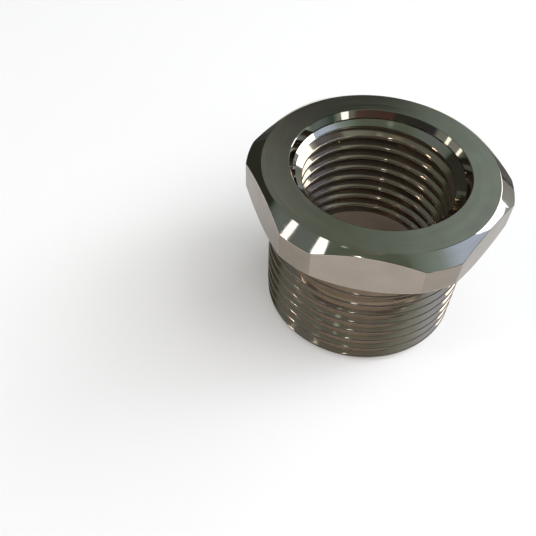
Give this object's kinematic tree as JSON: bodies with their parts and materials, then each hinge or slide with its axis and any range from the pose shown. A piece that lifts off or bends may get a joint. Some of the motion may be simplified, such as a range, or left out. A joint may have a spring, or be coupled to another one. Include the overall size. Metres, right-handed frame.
{
  "type": "pipe reducer",
  "caption": "Hexagon headed reducing bush: a male pipe thread below the head and a smaller female pipe thread through the middle.",
  "frame": {"origin": "centre of the end face of the male thread, on the axis of the bush", "axes": "+Z along the axis of the bush, from the male thread up through the hexagon head; one flat of the head faces -Y"},
  "size_m": [0.0324, 0.03, 0.0228],
  "materials": {
    "nickel_plated_brass": "bright nickel plate, satin turned top face and polished chamfers"
  },
  "bodies": {
    "root": {"reducer_body": "nickel_plated_brass"}
  },
  "joints": []
}
